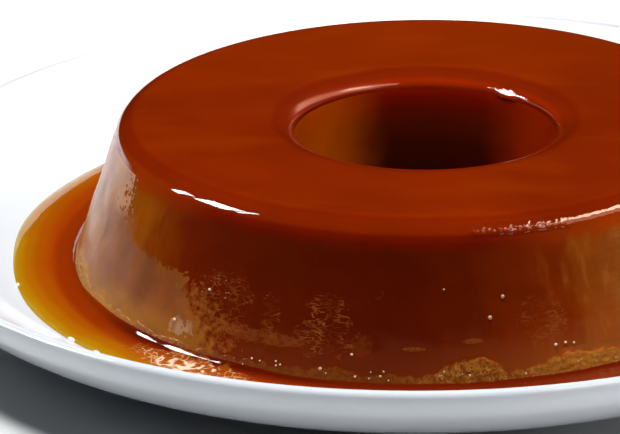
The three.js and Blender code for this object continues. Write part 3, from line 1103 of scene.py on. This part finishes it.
# Bubbles. Small beads of froth that stayed on the custard's side, along its crust and at the
# edge of the sauce. They cling to the wet skin, and each is a pale glossy bead; the pale colour
# is partly painted glints, and the beads on the shore are painted white glints.

# Each bead's turn in degrees, then its height and radius in mm. On the shore it has no height.
LONE_BUBBLES = (
    (-36, 27, 0.45),
    (-41.5, 17, 0.55),
    (-11, 17, 0.4),
    (-15.6, 12.8, 0.5),
    (10.2, 26, 0.55),
    (12.4, 31, 0.5),
    (3.0, 33.5, 0.3),
    (20.4, 17.4, 0.45),
    (22.0, 17.6, 0.4),
    (23.4, 17.2, 0.35),
)
SHORE_BUBBLES = ((-74, 0.55), (-53, 0.75), (-47.5, 0.65), (-20, 0.35), (-14, 0.35))
SHORE_SHAPE = (1, 2.2, 0.8)  # flattened, and drawn out along the shore
SHORE_INSET = 0.0003
CRUST_CLUSTERS = (-26, -14, -8, 5, 21, 29, 80, 130, 200, 260)
CRUST_BUBBLES = 46
# Pale froth, partly painted glints; on the shore, painted white glints.
FROTH_PAINTED_GLINT = (0.8, 0.56, 0.4)
FROTH_PAINTED_GLINT_DARK = (0.62, 0.34, 0.17)
FROTH_PAINTED_GLINT_ON_SHORE = (0.95, 0.9, 0.86)

random.seed(4)
on_side = list(LONE_BUBBLES)
for _ in range(CRUST_BUBBLES):
    turn = random.choice(CRUST_CLUSTERS) + random.gauss(0, 4)
    on_side.append((turn, 11.0 + abs(random.gauss(0, 1.4)), random.uniform(0.18, 0.34)))


def add_bead(azimuth, reach, height, radius, shape):
    """A bead at an azimuth and a distance from the flan's axis, with its lengths in metres."""
    bpy.ops.mesh.primitive_ico_sphere_add(
        subdivisions=2,
        radius=radius,
        location=(*plan_place(azimuth, reach), height),
        rotation=(0, 0, azimuth),
        scale=shape,
    )
    return bpy.context.object


bpy.ops.object.select_all(action="DESELECT")
beads = []
for turn, height, radius in on_side:
    azimuth = azimuth_at(turn)
    reach = side_radius(height / 1000) + side_bulge(azimuth, height / 1000)
    beads.append(add_bead(azimuth, reach, height / 1000, radius / 1000, (1, 1, 1)))
for turn, radius in SHORE_BUBBLES:
    azimuth = azimuth_at(turn)
    reach = pool_radius(azimuth) - SHORE_INSET
    bed_height = plate_surface(math.hypot(*plan_place(azimuth, reach)))
    height = bed_height + 0.4 * radius / 1000
    beads.append(add_bead(azimuth, reach, height, radius / 1000, SHORE_SHAPE))
for bead in beads:
    bead.select_set(True)
bpy.ops.object.join()
bubbles = bpy.context.object
bubbles.name = "froth_bubbles"
bubbles.data.name = "froth_bubbles"
bpy.ops.object.transform_apply(location=True, rotation=True, scale=True)
bpy.ops.object.shade_smooth()

tree, shader = new_material("froth", bubbles)
point, ring = ring_place(tree)
cloud = noise(tree, point, 700.0, 1.0)
colour = tint(tree, fade(tree, cloud, 0.35, 0.65), FROTH_PAINTED_GLINT, FROTH_PAINTED_GLINT_DARK)
# Painted white glints on the beads at the shore.
colour = tint(tree, fade(tree, ring["Radius"], 106.0, 112.0), colour, FROTH_PAINTED_GLINT_ON_SHORE)
set_colour(tree, shader, colour, 0.12, 1.4)

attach(bubbles, "root")


# Floor, lights and camera. A pale table under soft studio light from above, a window to the
# left and a white card to the right.

FLOOR_SIZE = (0.55, 0.75, 1)
FLOOR_CENTRE = (0.05, 0.125, 0)
TABLE = (0.42, 0.44, 0.45, 1)

bpy.ops.object.select_all(action="DESELECT")
bpy.ops.mesh.primitive_plane_add(size=1)
floor = bpy.context.object
floor.name = "floor"
bpy.ops.object.mode_set(mode="EDIT")
bpy.ops.transform.resize(value=FLOOR_SIZE)
bpy.ops.transform.translate(value=FLOOR_CENTRE)
bpy.ops.object.mode_set(mode="OBJECT")

# The table glows with painted light behind the plate and far from it, as the backdrop does, and
# less beside it; in front it glows only past the plate's rim, a painted shadow under the rim.
tree, shader = new_material("pale_table", floor)
point = node(tree, "ShaderNodeTexCoord").outputs["Object"]
parts = axes(tree, point)
away = node(tree, "ShaderNodeVectorMath", {0: point}, operation="LENGTH").outputs["Value"]
past_rim = fade(tree, away, 0.15, 0.157)
painted_glow = fade(tree, parts["Y"], 0.02, 0.085)
for part_painted_glow in (
    times(tree, past_rim, fade(tree, parts["X"], -0.085, -0.105, 0.0, 0.38)),
    times(tree, past_rim, 0.34),
    fade(tree, away, 0.19, 0.25),
    fade(tree, parts["X"], 0.0, 0.06, 0.0, 0.03),
):
    painted_glow = maths(tree, "MAXIMUM", painted_glow, part_painted_glow)
shader.inputs["Base Color"].default_value = TABLE
shader.inputs["Roughness"].default_value = 0.5
shader.inputs["Emission Color"].default_value = (1, 1, 1, 1)
tree.links.new(times(tree, painted_glow, 1.2), shader.inputs["Emission Strength"])
floor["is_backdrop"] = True


def add_light(name, azimuth, elevation, distance, size, power, **seen):
    """A rectangular light that faces the flan from an azimuth and elevation in degrees."""
    turn = math.radians(azimuth)
    rise = math.radians(elevation)
    flat_distance = distance * math.cos(rise)
    place = (
        FLAN_CENTRE[0] + flat_distance * math.cos(turn),
        FLAN_CENTRE[1] + flat_distance * math.sin(turn),
        0.03 + distance * math.sin(rise),
    )
    bpy.ops.object.light_add(type="AREA", location=place)
    light = bpy.context.object
    light.name = name
    light.rotation_euler = (math.pi / 2 - rise, 0, turn + math.pi / 2)
    light.data.shape = "RECTANGLE"
    light.data.size = size[0]
    light.data.size_y = size[1]
    light.data.energy = power
    for ray_kind, is_seen in seen.items():
        setattr(light, ray_kind, is_seen)
    return light


add_light("overhead", 262, 86, 1.4, (0.5, 0.5), 28, visible_glossy=False)

# Two low strips over the flan's far edge, facing away from it, light the plate behind.
for azimuth, power in ((92, 0.45), (140, 0.3)):
    strip = add_light("plate_strip", azimuth, 0, 0.1, (0.2, 0.05), power, visible_glossy=False)
    strip.location.z = 0.16
    strip.rotation_euler = (math.pi / 2, 0, math.radians(azimuth) - math.pi / 2)

# A window in three panes, each at its azimuth, elevation and width.
WINDOW_PANES = ((172.5, 23, 0.09), (187, 32, 0.25), (199, 36, 0.04))
WINDOW_HEIGHT = 0.28
WINDOW_POWER = 120  # for each square metre
for azimuth, elevation, width in WINDOW_PANES:
    power = WINDOW_POWER * width * WINDOW_HEIGHT
    size = (width, WINDOW_HEIGHT)
    add_light("window_pane", azimuth, elevation, 1.0, size, power, visible_diffuse=False)

# A short strip low in front, at the right, lights the plate's wall and leaves the flan alone.
add_light("low_strip", 304, -4.5, 0.25, (0.12, 0.02), 0.03, visible_glossy=False)

# Cards at the right, that only the glossy surfaces mirror.
card = add_light("white_card", 5, 34.5, 1.2, (2.6, 0.49), 17.3, visible_diffuse=False)
card.data.color = (1.0, 0.56, 0.38)
for azimuth, power in ((344, 7.0), (314, 3.0)):
    strip = add_light("edge_card", azimuth, 43, 1.2, (0.5, 0.22), power, visible_diffuse=False)
    strip.data.color = (1.0, 0.72, 0.52)

# A white backdrop, of which only the low part at the back is mirrored, and a weak fill.
world = bpy.data.worlds.new("studio")
bpy.context.scene.world = world
world.use_nodes = True
tree = world.node_tree
sky_point = node(tree, "ShaderNodeTexCoord").outputs["Generated"]
direction = axes(tree, sky_point)
path = node(tree, "ShaderNodeLightPath").outputs
low = fade(tree, direction["Z"], -0.05, -0.1)
far = fade(tree, direction["Y"], 0.48, 0.64)
backdrop = tint(tree, times(tree, low, far), (0.0, 0.0, 0.0), (1.5, 1.5, 1.5))
fill = tint(tree, path["Is Glossy Ray"], (0.03, 0.035, 0.04), backdrop)
shade = tint(tree, path["Is Camera Ray"], fill, (1.0, 1.0, 1.0))
tree.links.new(shade, tree.nodes["Background"].inputs["Color"])

CAMERA_PLACE = (0.0035, -0.717478, 0.301223)
CAMERA_TURN = (68.104, 0.864, 2.38)  # degrees about X, Y and Z
CAMERA_LENS = 151.03
bpy.ops.object.camera_add(location=CAMERA_PLACE)
camera = bpy.context.object
camera.rotation_euler = [math.radians(turn) for turn in CAMERA_TURN]
camera.data.sensor_width = 36
camera.data.lens = CAMERA_LENS
camera.data.clip_start = 0.01
bpy.context.scene.camera = camera

bpy.context.scene.view_settings.view_transform = "Standard"

low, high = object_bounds()
